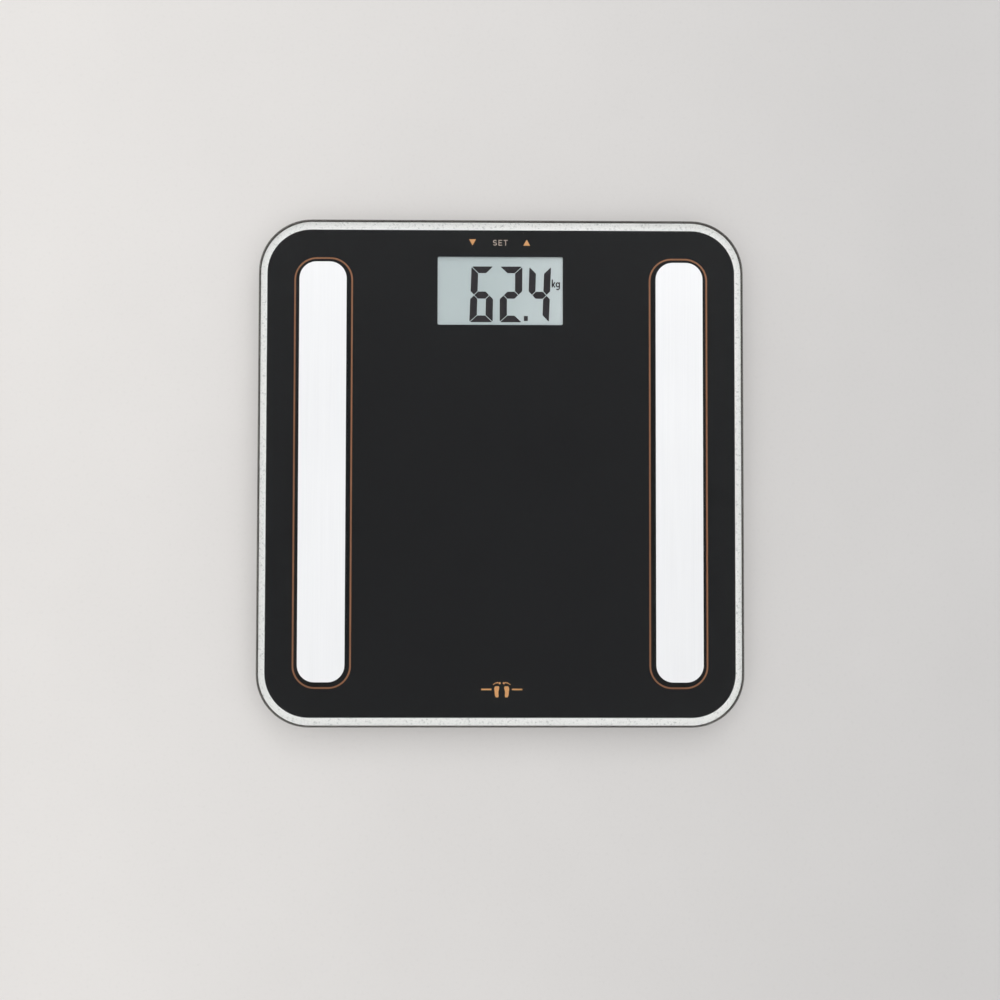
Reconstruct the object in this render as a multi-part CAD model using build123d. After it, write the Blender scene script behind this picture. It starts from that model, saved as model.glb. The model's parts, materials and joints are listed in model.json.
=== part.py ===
"""Digital bathroom scale: a glass platform on four load-cell feet, with two steel foot electrodes.

Millimetres, +Z up. The origin is on the floor, under the middle of the glass. The display is on the +Y side and
the user stands facing it, so +X is the user's right.
"""

import os

from build123d import *

# Glass platform
GLASS_W = 313.0
GLASS_D = 327.0
GLASS_R = 34.0
GLASS_T = 6.0
GLASS_TOP = 25.0
GLASS_Z = GLASS_TOP - GLASS_T
EDGE_GRIND = 0.9

# Black backing under the glass, and the display window in it
FILM_W = 303.1
FILM_D = 315.4
FILM_R = 28.5
FILM_T = 0.25
FILM_Z = GLASS_Z - 0.1 - FILM_T
WINDOW_X, WINDOW_Y = -0.65, 118.2
WINDOW_W, WINDOW_D = 81.3, 44.4

# Foot electrodes on top of the glass
ELECTRODE_X, ELECTRODE_Y = 115.0, 0.7
ELECTRODE_W, ELECTRODE_D, ELECTRODE_R = 30.4, 270.6, 11.0
ELECTRODE_T = 0.4
STUD_R = 1.5
STUD_END_Z = 14.9
STUD_HOLE_R = 2.25
WASHER_R, WASHER_T = 4.5, 0.55
TERMINAL_T, TERMINAL_L = 0.6, 9.0
NUT_ACROSS, NUT_T = 5.5, 2.4
RUN = 0.05

# Tray
FLOOR_Z, FLOOR_T = 5.0, 2.0
FLOOR_TOP = FLOOR_Z + FLOOR_T
TRAY_W, TRAY_D, TRAY_R = 282.0, 296.0, 24.0
TRAY_WALL = 2.0
TRAY_DRAFT = 10.0
FLANGE_W, FLANGE_D, FLANGE_R = 297.0, 310.0, 27.0
FLANGE_T = 2.0
TAPE_T = 0.5
RIM_Z = FILM_Z - TAPE_T
TAPE_W = 5.5
RIB_T, RIB_H = 1.2, 2.0
RIB_X = (-72.0, -36.0, 36.0, 72.0)
RIB_Y = (-96.0, -48.0, 0.0)
LABEL_W, LABEL_D, LABEL_Y = 76.0, 44.0, -72.0
LABEL_SINK, LABEL_T = 0.3, 0.15

# Feet and load cells, one in each corner
FOOT_X, FOOT_Y = 112.0, 121.0
FOOT_R = 17.0
FOOT_GAP = 0.5
FOOT_FLANGE_R, FOOT_FLANGE_T = 19.1, 1.2
COLLAR_R, COLLAR_T = 20.3, 0.8
FOOT_FLANGE_Z = FLOOR_TOP + 0.3
PAD_R, PAD_T, PAD_SINK = 14.0, 1.8, 0.6
CELL = 34.0
CELL_T = 2.0
CELL_Z = 10.0
CELL_BAR = 6.0
TONGUE_W, TONGUE_END = 12.0, -6.0
SEAL_T = 1.2
POST_R, POST_AT = 2.8, 15.8
RETAINER = 36.0
RETAINER_TOP = FILM_Z
CHANNEL_W, CHANNEL_TOP = 23.0, 16.6
EAR_AT, EAR_R, EAR_T = 23.0, 3.5, 2.0
BOSS_R = 3.25

# Screws
SCREW_R, SCREW_HEAD_R, SCREW_HEAD_T = 1.45, 2.7, 1.8
SCREW_BORE_R = 1.5
SCREW_TIP_Z = 8.0

# Battery compartment: three AAA cells side by side, lying along X
BATTERY_R, BATTERY_L, NUB_R, NUB_L = 5.25, 43.3, 1.9, 1.2
BATTERY_PITCH = 11.8
BATTERY_Y = 40.0
BATTERY_Z = 12.25
BAY_W, BAY_D = 52.6, 36.0
BAY_WALL, BAY_TOP = 1.6, 17.6
BAY_ROOF = 0.8
SILL_T = 1.4
WELL_WALL = 1.2
CONTACT_T = 0.4
CONTACT_W, CONTACT_H = 8.6, 7.6
TAB_Z, TAB_W = 14.2, 2.8
TAB_END_X = BAY_W / 2 + BAY_WALL + 2.0
SPRING_WIRE_R = 0.3

# Battery door: tongues on its -Y edge, latch on its +Y edge
DOOR_W, DOOR_Y0, DOOR_Y1, DOOR_T = 58.0, 17.9, 61.6, 1.6
DOOR_GAP = 0.4
TONGUE_X, DOOR_TONGUE_W, DOOR_TONGUE_L = 17.0, 7.0, 2.2
DOOR_TONGUE_T, DOOR_TONGUE_ROOT = 0.7, 1.0
NOTCH_Y0, NOTCH_Y1, NOTCH_TOP = DOOR_Y0 - DOOR_TONGUE_L - 0.7, DOOR_Y0 + 2.0, 9.2
GROOVE_Y, GROOVE_W, GROOVE_D, GROOVE_DEPTH = (50.0, 52.4, 54.8), 18.0, 1.2, 0.5
LATCH_W, LATCH_T = 16.0, 1.2
LATCH_Y0, LATCH_Y1 = 60.2, 64.8
LATCH_BEND_Z = 11.0
HOOK = 0.9
WELL_Y0, WELL_Y1, WELL_TOP = LATCH_Y0 - 0.3, LATCH_Y1 + 1.6, 13.8
SCOOP_R, SCOOP_DEPTH = 5.5, 1.2

# Circuit board and display stack
BOARD_W, BOARD_Y0, BOARD_Y1, BOARD_T = 107.0, 78.0, 145.0, 1.6
BOARD_Z = 12.4
BOARD_TOP = BOARD_Z + BOARD_T
BOARD_HOLE_X = 49.5
BOARD_HOLE_Y = (82.0, 141.0)
LCD_W, LCD_D, LCD_Z, LCD_T = 87.0, 49.4, 15.4, 2.8
REFLECTOR_W, REFLECTOR_D = 83.0, 44.9
LCD_FRAME_W, LCD_FRAME_D = 90.8, 52.8
ZEBRA_W, ZEBRA_D = 76.0, 1.6
GASKET_W, GASKET_D = 87.0, 50.2

# Unit button and its switch, on the underside
BUTTON_X, BUTTON_Y = -34.0, 88.0
BUTTON_R, BUTTON_HOLE_R = 3.7, 4.1
BUTTON_Z = 5.3
SWITCH_W, SWITCH_T = 6.2, 3.6
PLUNGER_R, PLUNGER_TRAVEL = 1.7, 0.6

# Leads, and the two headers at the board's front edge that take four leads each
LEAD_R = 0.7
LEAD_BEND = 3.0
HEADER_X0, HEADER_X1, HEADER_Y0, HEADER_D, HEADER_H = 28.5, 46.0, 79.0, 5.0, 4.0
PIN_BATTERY, PIN_FRONT_CELL, PIN_ELECTRODE, PIN_REAR_CELL = 31.0, 35.0, 39.0, 43.0
PIN_Z = 16.0
CELL_LEAD_Z = CELL_Z + CELL_T + 0.05 + LEAD_R

CORNERS = {
    "front_left": (-1, -1),
    "front_right": (1, -1),
    "rear_left": (-1, 1),
    "rear_right": (1, 1),
}


def slab(width, depth, radius, z, height, x=0.0, y=0.0):
    """A flat plate with rounded corners, standing on z."""
    outline = RectangleRounded(width, depth, radius) if radius else Rectangle(width, depth)
    return Pos(x, y, z) * extrude(outline, height)


def disc(radius, z, height, x=0.0, y=0.0):
    """A round post standing on z."""
    return Pos(x, y, z + height / 2) * Cylinder(radius, height)


def block(x0, x1, y0, y1, z0, z1):
    """A plain box between two corners."""
    centre = ((x0 + x1) / 2, (y0 + y1) / 2, (z0 + z1) / 2)
    return Pos(*centre) * Box(x1 - x0, y1 - y0, z1 - z0)


def tube(points, radius=LEAD_R):
    """A round lead along hand-placed points, with every corner bent to an arc."""
    path = FilletPolyline(*points, radius=LEAD_BEND)
    start = Plane(origin=path @ 0, z_dir=path % 0)
    return sweep(start * Circle(radius), path=path)


def save(name, *solids):
    """Writes one node, which may hold several separate solids."""
    shape = solids[0] if len(solids) == 1 else Compound(children=list(solids))
    export_step(shape, f"parts/{name}.step")


# ---------------------------------------------------------------- platform


def glass_platform():
    plate = slab(GLASS_W, GLASS_D, GLASS_R, GLASS_Z, GLASS_T)
    layers = plate.edges().group_by(Axis.Z)
    plate = chamfer(layers[0] + layers[-1], EDGE_GRIND)
    for side in (-1, 1):
        plate -= disc(STUD_HOLE_R, GLASS_Z, GLASS_T, side * ELECTRODE_X, ELECTRODE_Y)
    return plate


def printed_film():
    film = slab(FILM_W, FILM_D, FILM_R, FILM_Z, FILM_T)
    film -= slab(WINDOW_W, WINDOW_D, 1.0, FILM_Z, FILM_T, WINDOW_X, WINDOW_Y)
    for side in (-1, 1):
        film -= disc(WASHER_R + 0.4, FILM_Z, FILM_T, side * ELECTRODE_X, ELECTRODE_Y)
    return film


def electrode(side):
    """The plate and, welded under its middle, the stud that goes down through the glass."""
    plate = slab(ELECTRODE_W, ELECTRODE_D, ELECTRODE_R, GLASS_TOP, ELECTRODE_T, side * ELECTRODE_X, ELECTRODE_Y)
    stud = disc(STUD_R, STUD_END_Z, GLASS_TOP - STUD_END_Z, side * ELECTRODE_X, ELECTRODE_Y)
    return [plate, stud]


def electrode_washer(side):
    x = side * ELECTRODE_X
    washer = disc(WASHER_R, GLASS_Z - WASHER_T, WASHER_T, x, ELECTRODE_Y)
    return washer - disc(STUD_R + RUN, GLASS_Z - WASHER_T, WASHER_T, x, ELECTRODE_Y)


def ring_terminal(side):
    """A flat ring under the washer, with a crimp barrel reaching towards the board."""
    x, z = side * ELECTRODE_X, GLASS_Z - WASHER_T - TERMINAL_T
    ring = disc(3.6, z, TERMINAL_T, x, ELECTRODE_Y)
    barrel = block(x - 1.2, x + 1.2, ELECTRODE_Y + 2.5, ELECTRODE_Y + TERMINAL_L, z, z + TERMINAL_T)
    return ring + barrel - disc(STUD_R + RUN, z, TERMINAL_T, x, ELECTRODE_Y)


def electrode_nut(side):
    x, z = side * ELECTRODE_X, GLASS_Z - WASHER_T - TERMINAL_T - NUT_T
    nut = Pos(x, ELECTRODE_Y, z) * extrude(RegularPolygon(NUT_ACROSS / 2, 6, major_radius=False), NUT_T)
    return nut - disc(STUD_R + RUN, z, NUT_T, x, ELECTRODE_Y)


# ---------------------------------------------------------------- tray


def corner_point(corner, across, along):
    """A point near one foot: across is +X, along runs from the foot towards the middle of the scale."""
    sx, sy = CORNERS[corner]
    return sx * FOOT_X + across, sy * FOOT_Y - sy * along


def tray_shell():
    wall_h = RIM_Z - FLANGE_T - FLOOR_Z
    outer = Pos(0, 0, FLOOR_Z) * extrude(RectangleRounded(TRAY_W, TRAY_D, TRAY_R), wall_h, taper=-TRAY_DRAFT)
    outer = fillet(outer.edges().group_by(Axis.Z)[0], 2.5)
    shell = outer + slab(FLANGE_W, FLANGE_D, FLANGE_R, RIM_Z - FLANGE_T, FLANGE_T)
    inner = RectangleRounded(TRAY_W - 2 * TRAY_WALL, TRAY_D - 2 * TRAY_WALL, TRAY_R - TRAY_WALL)
    return shell - Pos(0, 0, FLOOR_TOP) * extrude(inner, RIM_Z - FLOOR_TOP, taper=-TRAY_DRAFT)


def tray_ribs():
    half_x, half_y = TRAY_W / 2 - 1.0, TRAY_D / 2 - 1.0
    ribs = []
    for x in RIB_X:
        ribs.append(block(x - RIB_T / 2, x + RIB_T / 2, -half_y, 12.0, FLOOR_TOP, FLOOR_TOP + RIB_H))
    for y in RIB_Y:
        ribs.append(block(-half_x, half_x, y - RIB_T / 2, y + RIB_T / 2, FLOOR_TOP, FLOOR_TOP + RIB_H))
    return ribs


def notch_x(side):
    """The two ends, along X, of the notch that takes one of the door's tongues."""
    half = DOOR_TONGUE_W / 2 + DOOR_GAP
    return side * TONGUE_X - half, side * TONGUE_X + half


def battery_bay_walls():
    """The bay's box, the sill round the door, and the covers over the latch and over the two tongues."""
    outer_w, outer_d = BAY_W + 2 * BAY_WALL, BAY_D + 2 * BAY_WALL
    walls = [slab(outer_w, outer_d, 1.5, FLOOR_TOP, BAY_TOP + BAY_ROOF - FLOOR_TOP, 0, BATTERY_Y)]
    sill_x = DOOR_W / 2 + 3.5
    walls.append(block(-sill_x, sill_x, DOOR_Y0 - 4.2, LATCH_Y1 + 3.0, FLOOR_TOP, FLOOR_TOP + SILL_T))
    well_x = LATCH_W / 2 + DOOR_GAP + WELL_WALL
    well_y0 = BATTERY_Y + BAY_D / 2 + 0.5
    walls.append(block(-well_x, well_x, well_y0, WELL_Y1 + WELL_WALL, FLOOR_TOP, WELL_TOP + WELL_WALL))
    for side in (-1, 1):
        x0, x1 = notch_x(side)
        y0, y1 = NOTCH_Y0 - WELL_WALL, BATTERY_Y - BAY_D / 2 - 0.5
        walls.append(block(x0 - WELL_WALL, x1 + WELL_WALL, y0, y1, FLOOR_TOP, NOTCH_TOP + WELL_WALL))
    return walls


def battery_bay_cuts():
    """What is taken out of the tray for the cells, the door, its tongues and its latch."""
    half_w = DOOR_W / 2 + DOOR_GAP
    half_l = LATCH_W / 2 + DOOR_GAP
    bay = block(-BAY_W / 2, BAY_W / 2, BATTERY_Y - BAY_D / 2, BATTERY_Y + BAY_D / 2, FLOOR_Z, BAY_TOP)
    pocket = block(-half_w, half_w, DOOR_Y0 - DOOR_GAP, DOOR_Y1 + DOOR_GAP, FLOOR_Z, FLOOR_TOP)
    slot = block(-half_l, half_l, WELL_Y0, LATCH_Y1 + DOOR_GAP, FLOOR_Z, FLOOR_TOP)
    well = block(-half_l, half_l, WELL_Y0, WELL_Y1, FLOOR_TOP, WELL_TOP)
    ball = Pos(0, LATCH_Y1 + DOOR_GAP, FLOOR_Z) * Sphere(SCOOP_R)
    scoop = ball & block(-SCOOP_R, SCOOP_R, LATCH_Y1, LATCH_Y1 + 8, FLOOR_Z, FLOOR_Z + SCOOP_DEPTH)
    cuts = [bay, pocket, slot, well, scoop]
    for side in (-1, 1):
        x0, x1 = notch_x(side)
        cuts.append(block(x0, x1, NOTCH_Y0, NOTCH_Y1, FLOOR_Z + 0.6, NOTCH_TOP))
    return cuts


def contact_slots():
    """Slots in the bay's end walls for the two solder tabs."""
    slots = []
    for x, row in ((-1, -1), (1, 1)):
        y = BATTERY_Y + row * BATTERY_PITCH
        reach = x * (BAY_W / 2 + BAY_WALL / 2)
        slots.append(block(reach - 1.2, reach + 1.2, y - 1.7, y + 1.7, TAB_Z - 0.2, TAB_Z + CONTACT_T + 0.2))
    return slots


def base_tray():
    tray = tray_shell()
    for wall in tray_ribs() + battery_bay_walls():
        tray += wall
    for corner in CORNERS:
        x, y = corner_point(corner, 0, 0)
        tray += disc(FOOT_FLANGE_R + 2.4, FLOOR_TOP, RIB_H + 0.4, x, y)
        tray -= disc(FOOT_FLANGE_R + 0.6, FLOOR_TOP, RIB_H + 0.4, x, y)
        tray += disc(COLLAR_R, FLOOR_Z - COLLAR_T, COLLAR_T, x, y)
        tray -= disc(FOOT_R + FOOT_GAP, FLOOR_Z - COLLAR_T, FLOOR_T + COLLAR_T, x, y)
        for across in (-POST_AT, POST_AT):
            for along in (-POST_AT, POST_AT):
                px, py = corner_point(corner, across, along)
                tray += disc(POST_R, FLOOR_TOP, CELL_Z - FLOOR_TOP, px, py)
        for across in (-EAR_AT, EAR_AT):
            bx, by = corner_point(corner, across, 0)
            tray += disc(BOSS_R, FLOOR_TOP, CELL_Z + CELL_T - FLOOR_TOP, bx, by)
            tray -= disc(SCREW_BORE_R, FLOOR_TOP, CELL_Z + CELL_T - FLOOR_TOP, bx, by)
    for x in (-BOARD_HOLE_X, BOARD_HOLE_X):
        for y in BOARD_HOLE_Y:
            tray += disc(BOSS_R, FLOOR_TOP, BOARD_Z - FLOOR_TOP, x, y)
            tray -= disc(SCREW_BORE_R, FLOOR_TOP, BOARD_Z - FLOOR_TOP, x, y)
    for cut in battery_bay_cuts() + contact_slots():
        tray -= cut
    tray -= disc(BUTTON_HOLE_R, FLOOR_Z, FLOOR_T, BUTTON_X, BUTTON_Y)
    tray -= slab(LABEL_W + 1.0, LABEL_D + 1.0, 3.0, FLOOR_Z, LABEL_SINK, 0, LABEL_Y)
    return tray


def rating_label():
    return slab(LABEL_W, LABEL_D, 2.5, FLOOR_Z + LABEL_SINK - LABEL_T, LABEL_T, 0, LABEL_Y)


def bonding_tape():
    ring = slab(FLANGE_W - 2.0, FLANGE_D - 2.0, FLANGE_R - 1.0, RIM_Z, TAPE_T)
    hole = slab(FLANGE_W - 2.0 - 2 * TAPE_W, FLANGE_D - 2.0 - 2 * TAPE_W, FLANGE_R - 1.0 - TAPE_W, RIM_Z, TAPE_T)
    notch = block(-31, 30, FLANGE_D / 2 - 10, FLANGE_D / 2, RIM_Z, RIM_Z + TAPE_T)
    return ring - hole - notch


# ---------------------------------------------------------------- feet and load cells


def foot(corner):
    x, y = corner_point(corner, 0, 0)
    puck_z = PAD_T - PAD_SINK
    puck = disc(FOOT_R, puck_z, FOOT_FLANGE_Z - puck_z, x, y)
    puck = fillet(puck.edges().group_by(Axis.Z)[0], 0.8)
    flange = disc(FOOT_FLANGE_R, FOOT_FLANGE_Z, FOOT_FLANGE_T, x, y)
    boss = disc(4.0, FOOT_FLANGE_Z, CELL_Z - FOOT_FLANGE_Z, x, y)
    recess = disc(PAD_R + 0.2, puck_z, PAD_SINK, x, y)
    return puck + flange + boss - recess


def foot_pad(corner):
    x, y = corner_point(corner, 0, 0)
    pad = disc(PAD_R, 0, PAD_T, x, y)
    return fillet(pad.edges().group_by(Axis.Z)[0], 0.5)


def load_cell(corner):
    """Square steel plate with a window, and a tongue across the window from the side nearest the middle."""
    sy = CORNERS[corner][1]
    x, y = corner_point(corner, 0, 0)
    plate = slab(CELL, CELL, 3.0, CELL_Z, CELL_T, x, y)
    inner = CELL / 2 - CELL_BAR
    plate -= slab(2 * inner, 2 * inner, 1.5, CELL_Z, CELL_T, x, y)
    y0, y1 = sorted((y - sy * TONGUE_END, y - sy * (inner + 1.0)))
    return plate + block(x - TONGUE_W / 2, x + TONGUE_W / 2, y0, y1, CELL_Z, CELL_Z + CELL_T)


def gauge_seal(corner):
    """The soft bead over the strain gauge at the tongue's root."""
    x, y = corner_point(corner, 0, 8.0)
    bead = slab(8.6, 7.0, 2.0, CELL_Z + CELL_T, SEAL_T, x, y)
    return fillet(bead.edges().group_by(Axis.Z)[-1], 0.5)


def cell_retainer(corner):
    """The cap that clamps the cell's two side bars and carries the glass."""
    x, y = corner_point(corner, 0, 0)
    base = CELL_Z + CELL_T
    cap = slab(RETAINER, RETAINER, 3.0, base, RETAINER_TOP - base, x, y)
    cap -= block(x - CHANNEL_W / 2, x + CHANNEL_W / 2, y - RETAINER, y + RETAINER, base, CHANNEL_TOP)
    for side in (-1, 1):
        ear_x = x + side * EAR_AT
        lug = disc(EAR_R, base, EAR_T, ear_x, y)
        inner_x, outer_x = sorted((x + side * (RETAINER / 2 - 1.0), ear_x))
        lug += block(inner_x, outer_x, y - EAR_R, y + EAR_R, base, base + EAR_T)
        cap += lug
        cap -= disc(SCREW_BORE_R, base, EAR_T, ear_x, y)
    return cap


def screw(x, y, head_z):
    """A pan-head screw whose head rests on head_z."""
    head = disc(SCREW_HEAD_R, head_z, SCREW_HEAD_T, x, y)
    head = fillet(head.edges().group_by(Axis.Z)[-1], 0.7)
    shank = disc(SCREW_R, SCREW_TIP_Z, head_z - SCREW_TIP_Z, x, y)
    slot_z = head_z + SCREW_HEAD_T
    cross = block(x - 1.5, x + 1.5, y - 0.3, y + 0.3, slot_z - 0.7, slot_z)
    cross += block(x - 0.3, x + 0.3, y - 1.5, y + 1.5, slot_z - 0.7, slot_z)
    return head + shank - cross


def retainer_screws():
    seats = [corner_point(corner, across, 0) for corner in CORNERS for across in (-EAR_AT, EAR_AT)]
    return [screw(x, y, CELL_Z + CELL_T + EAR_T) for x, y in seats]


def load_cell_lead(corner):
    """From the gauge seal, along the tray, to its pin at the board's front edge."""
    sx, sy = CORNERS[corner]
    x0, y0 = corner_point(corner, 0, 11.5)
    if sy > 0:
        pin = sx * PIN_REAR_CELL
        lane = [(x0, 80.0, CELL_LEAD_Z), (sx * 58.0, 69.0, CELL_LEAD_Z), (pin, 72.5, PIN_Z)]
    else:
        pin = sx * PIN_FRONT_CELL
        lane = [(x0, -86.0, CELL_LEAD_Z), (sx * 44.0, -62.0, CELL_LEAD_Z)]
        lane += [(sx * 44.0, 58.0, CELL_LEAD_Z), (pin, 68.0, PIN_Z)]
    return tube([(x0, y0, CELL_LEAD_Z)] + lane + [(pin, HEADER_Y0, PIN_Z)])


# ---------------------------------------------------------------- battery side


def battery_cell(index):
    """One AAA cell lying along X; neighbours face opposite ways."""
    way = 1 if index % 2 == 0 else -1
    y = BATTERY_Y + (index - 1) * BATTERY_PITCH
    can = Rot(0, 90, 0) * Cylinder(BATTERY_R, BATTERY_L)
    can = fillet(can.edges(), 0.5)
    nub = Pos(way * (BATTERY_L + NUB_L) / 2, 0, 0) * Rot(0, 90, 0) * Cylinder(NUB_R, NUB_L)
    shift = way * (BAY_W / 2 - CONTACT_T - NUB_L - BATTERY_L / 2)
    return Pos(shift, y, BATTERY_Z) * (can + nub)


def contact_plate(side, rows, tab_row=None):
    """A sprung-steel plate against one end wall of the bay, over one or two cells."""
    x0, x1 = sorted((side * BAY_W / 2, side * (BAY_W / 2 - CONTACT_T)))
    ys = [BATTERY_Y + row * BATTERY_PITCH for row in rows]
    z0, z1 = BATTERY_Z - CONTACT_H / 2, BATTERY_Z + CONTACT_H / 2
    plate = block(x0, x1, min(ys) - CONTACT_W / 2, max(ys) + CONTACT_W / 2, z0, z1)
    if tab_row is not None:
        y = BATTERY_Y + tab_row * BATTERY_PITCH
        tab0, tab1 = sorted((side * (BAY_W / 2 - CONTACT_T / 2), side * TAB_END_X))
        plate += block(tab0, tab1, y - TAB_W / 2, y + TAB_W / 2, TAB_Z, TAB_Z + CONTACT_T)
    return plate


def contact_spring(side, row):
    """A conical spring between the plate and the flat end of a cell."""
    y = BATTERY_Y + row * BATTERY_PITCH
    plate_x = BAY_W / 2 - CONTACT_T
    cell_x = BATTERY_L - (BAY_W / 2 - CONTACT_T - NUB_L)
    length = plate_x - cell_x - 2 * SPRING_WIRE_R - 0.1
    coil = Helix(pitch=length / 3, height=length, radius=3.4, cone_angle=-16)
    wire = sweep(Plane(origin=coil @ 0, z_dir=coil % 0) * Circle(SPRING_WIRE_R), path=coil)
    turn = Rot(0, -90, 0) if side > 0 else Rot(0, 90, 0)
    return Pos(side * (plate_x - SPRING_WIRE_R - 0.05), y, BATTERY_Z) * turn * wire


def battery_lead(side, row):
    """From a solder tab, up beside the bay, to its pin at the board's front edge."""
    y = BATTERY_Y + row * BATTERY_PITCH
    pin = side * PIN_BATTERY
    tab = (side * TAB_END_X, y, TAB_Z + CONTACT_T / 2)
    lane = [(side * 36.0, y, TAB_Z + CONTACT_T / 2), (side * 36.0, 60.0, PIN_Z), (pin, 70.0, PIN_Z)]
    return tube([tab] + lane + [(pin, HEADER_Y0, PIN_Z)])


def battery_door():
    """A flat door with two tongues on its -Y edge, a notch for the latch and three grip grooves outside."""
    top = FLOOR_Z + DOOR_T
    door = slab(DOOR_W, DOOR_Y1 - DOOR_Y0, 2.0, FLOOR_Z, DOOR_T, 0, (DOOR_Y0 + DOOR_Y1) / 2)
    front = door.faces().filter_by(Axis.Y).sort_by(Axis.Y)[0].edges().group_by(Axis.Z)
    door = chamfer(front[0] + front[-1], 0.4)
    for side in (-1, 1):
        x0, x1 = side * TONGUE_X - DOOR_TONGUE_W / 2, side * TONGUE_X + DOOR_TONGUE_W / 2
        y0, y1 = DOOR_Y0 - DOOR_TONGUE_L, DOOR_Y0 + DOOR_TONGUE_ROOT
        door += block(x0, x1, y0, y1, top - DOOR_TONGUE_T, top)
    for y in GROOVE_Y:
        door -= block(-GROOVE_W / 2, GROOVE_W / 2, y, y + GROOVE_D, FLOOR_Z, FLOOR_Z + GROOVE_DEPTH)
    notch_w = LATCH_W / 2 + DOOR_GAP
    return door - block(-notch_w, notch_w, LATCH_Y0 + LATCH_T, DOOR_Y1 + 1.0, FLOOR_Z, top)


def battery_door_latch():
    """A U-shaped spring tab standing on the door, whose outer leg hooks over the tray floor."""
    y0, y1, t = LATCH_Y0, LATCH_Y1, LATCH_T
    middle, outer_r = (y0 + y1) / 2, (y1 - y0) / 2
    door_top, tab_z, hook_z = FLOOR_Z + DOOR_T, FLOOR_Z + 0.3, FLOOR_TOP + 0.1
    with BuildPart() as latch:
        with BuildSketch(Plane.YZ.offset(-LATCH_W / 2)):
            with BuildLine():
                Line((y0, door_top), (y0, LATCH_BEND_Z))
                ThreePointArc((y0, LATCH_BEND_Z), (middle, LATCH_BEND_Z + outer_r), (y1, LATCH_BEND_Z))
                Polyline(
                    (y1, LATCH_BEND_Z),
                    (y1, hook_z + 1.6),
                    (y1 + HOOK, hook_z + 0.4),
                    (y1 + HOOK, hook_z),
                    (y1, hook_z),
                    (y1, tab_z),
                    (y1 - t, tab_z),
                    (y1 - t, LATCH_BEND_Z),
                )
                ThreePointArc(
                    (y1 - t, LATCH_BEND_Z), (middle, LATCH_BEND_Z + outer_r - t), (y0 + t, LATCH_BEND_Z)
                )
                Polyline((y0 + t, LATCH_BEND_Z), (y0 + t, door_top), (y0, door_top))
            make_face()
        extrude(amount=LATCH_W)
    return latch.part


# ---------------------------------------------------------------- electronics


def main_board():
    board = block(-BOARD_W / 2, BOARD_W / 2, BOARD_Y0, BOARD_Y1, BOARD_Z, BOARD_TOP)
    for x in (-BOARD_HOLE_X, BOARD_HOLE_X):
        for y in BOARD_HOLE_Y:
            board -= disc(SCREW_BORE_R, BOARD_Z, BOARD_T, x, y)
    return board


def board_screws():
    return [screw(x, y, BOARD_TOP) for x in (-BOARD_HOLE_X, BOARD_HOLE_X) for y in BOARD_HOLE_Y]


def board_components():
    """Chips on the underside of the board, and the two headers on its front edge."""
    under = (
        (0.0, 112.0, 12.0, 12.0, 1.4),
        (22.0, 104.0, 5.0, 6.2, 1.5),
        (-16.0, 100.0, 8.0, 3.2, 2.4),
        (30.0, 124.0, 6.4, 6.4, 3.0),
        (14.0, 92.0, 3.2, 1.6, 1.2),
        (20.0, 92.0, 3.2, 1.6, 1.2),
        (-24.0, 122.0, 3.2, 1.6, 1.2),
        (-24.0, 127.0, 3.2, 1.6, 1.2),
    )
    chips = []
    for x, y, w, d, h in under:
        chips.append(block(x - w / 2, x + w / 2, y - d / 2, y + d / 2, BOARD_Z - h, BOARD_Z))
    for side in (-1, 1):
        x0, x1 = sorted((side * HEADER_X0, side * HEADER_X1))
        chips.append(block(x0, x1, HEADER_Y0, HEADER_Y0 + HEADER_D, BOARD_TOP, BOARD_TOP + HEADER_H))
    return chips


def lcd_panel():
    return slab(LCD_W, LCD_D, 0.5, LCD_Z, LCD_T, WINDOW_X, WINDOW_Y)


def lcd_reflector():
    return slab(REFLECTOR_W, REFLECTOR_D, 0, BOARD_TOP, LCD_Z - BOARD_TOP, WINDOW_X, WINDOW_Y)


def lcd_frame():
    top = LCD_Z + LCD_T
    frame = slab(LCD_FRAME_W, LCD_FRAME_D, 1.5, BOARD_TOP, top - BOARD_TOP, WINDOW_X, WINDOW_Y)
    return frame - slab(LCD_W + 0.1, LCD_D + 0.1, 0.5, BOARD_TOP, top - BOARD_TOP, WINDOW_X, WINDOW_Y)


def zebra_strip(side):
    y = WINDOW_Y + side * (LCD_D - ZEBRA_D - 0.6) / 2
    return slab(ZEBRA_W, ZEBRA_D, 0, BOARD_TOP, LCD_Z - BOARD_TOP, WINDOW_X, y)


def lcd_gasket():
    z = LCD_Z + LCD_T
    ring = slab(GASKET_W, GASKET_D, 1.5, z, FILM_Z - z, WINDOW_X, WINDOW_Y)
    return ring - slab(WINDOW_W + 1.2, WINDOW_D + 1.2, 1.0, z, FILM_Z - z, WINDOW_X, WINDOW_Y)


def touch_key_flex():
    """A thin key film under the marks, with a tail down to the back edge of the board."""
    pads = block(-26, 24, BOARD_Y1, 154.0, FILM_Z - 0.2, FILM_Z)
    tail = block(-6, 6, BOARD_Y1, BOARD_Y1 + 0.2, BOARD_Z + 0.4, FILM_Z)
    return pads + tail


def unit_switch_body():
    z = BOARD_Z - SWITCH_T
    body = slab(SWITCH_W, SWITCH_W, 0.6, z, SWITCH_T, BUTTON_X, BUTTON_Y)
    return body - disc(PLUNGER_R + 0.15, z, SWITCH_T - 1.0, BUTTON_X, BUTTON_Y)


def unit_switch_plunger():
    z = BOARD_Z - SWITCH_T - 0.8
    top = BOARD_Z - 1.0 - PLUNGER_TRAVEL
    return disc(PLUNGER_R, z, top - z, BUTTON_X, BUTTON_Y)


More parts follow.
